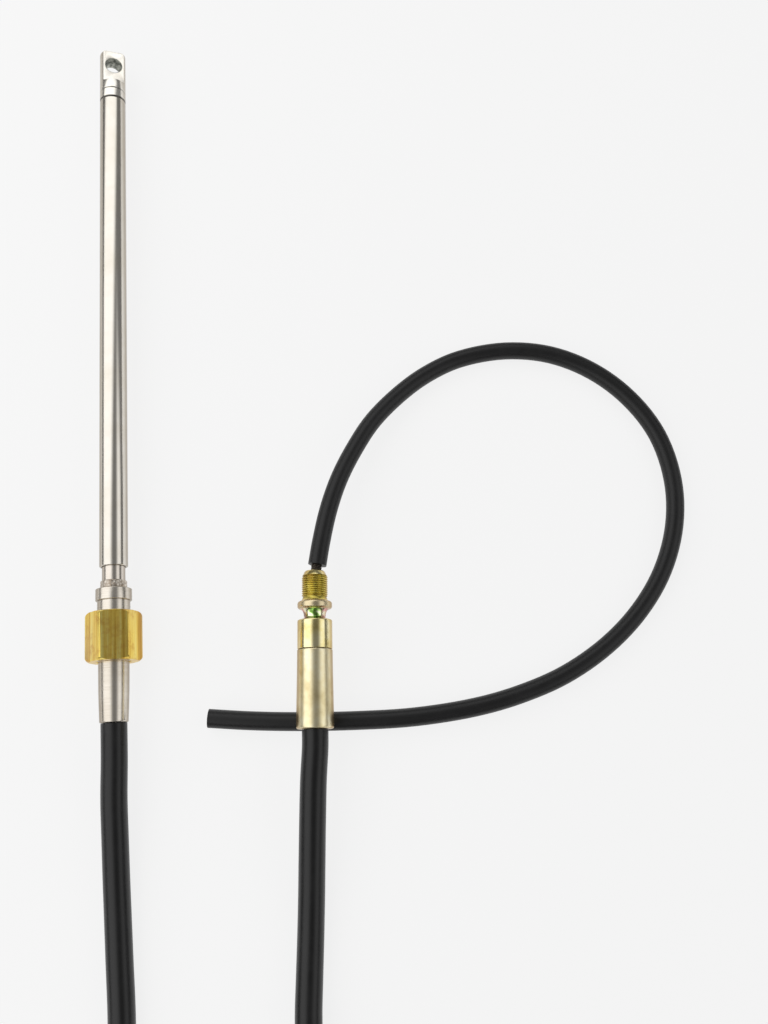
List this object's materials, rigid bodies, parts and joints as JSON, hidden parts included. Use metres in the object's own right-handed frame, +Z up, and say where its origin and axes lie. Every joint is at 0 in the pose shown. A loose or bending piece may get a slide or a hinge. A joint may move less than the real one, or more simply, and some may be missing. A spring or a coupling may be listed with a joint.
{
  "type": "boat steering cable",
  "caption": "Push-pull boat steering cable: steel ram with an eye, brass coupling nut, black conduit in a coil, threaded helm fitting and a sleeved core loop.",
  "frame": {"origin": "on the floor, under the middle of the fittings' box (the conduit, its coil and the sleeve left out)", "axes": "+Y along the ram, from the nut to the eye; +Z up from the floor that the cable lies on; +X towards the helm end"},
  "size_m": [0.3475, 0.9028, 0.0312],
  "materials": {
    "ram_steel": "polished stainless tube",
    "eye_steel": "polished stainless with milled flats",
    "core_wire": "dark wound wire",
    "guide_steel": "polished stainless tube",
    "ring_steel": "rough, mottled",
    "fitting_steel": "satin, turned",
    "nut_brass": "brushed along its length",
    "ferrule_zinc": "satin yellow zinc plate",
    "fitting_zinc": "bright yellow zinc plate with green and pink tints",
    "conduit_black": "satin black jacket",
    "sleeve_black": "satin black sleeve"
  },
  "bodies": {
    "conduit": {"guide_tube": "guide_steel", "foot_ring": "ring_steel", "output_fitting": "fitting_steel", "helm_ferrule": "ferrule_zinc", "helm_fitting": "fitting_zinc", "helm_core": "core_wire", "conduit_output": "conduit_black", "conduit_helm": "conduit_black", "conduit_coil": "conduit_black", "core_sleeve": "sleeve_black"},
    "ram": {"ram_tube": "ram_steel", "ram_eye": "eye_steel", "core_rod": "core_wire"},
    "nut": {"coupling_nut": "nut_brass"}
  },
  "joints": [
    {"name": "ram_slide", "type": "slide", "parent": "conduit", "child": "ram", "axis": [0, 1, 0], "range_m": [0, 0.229]},
    {"name": "nut_spin", "type": "hinge", "parent": "conduit", "child": "nut", "pos_m": [-0.05353, -0.15932, 0.015], "axis": [0, 1, 0], "continuous": true}
  ]
}
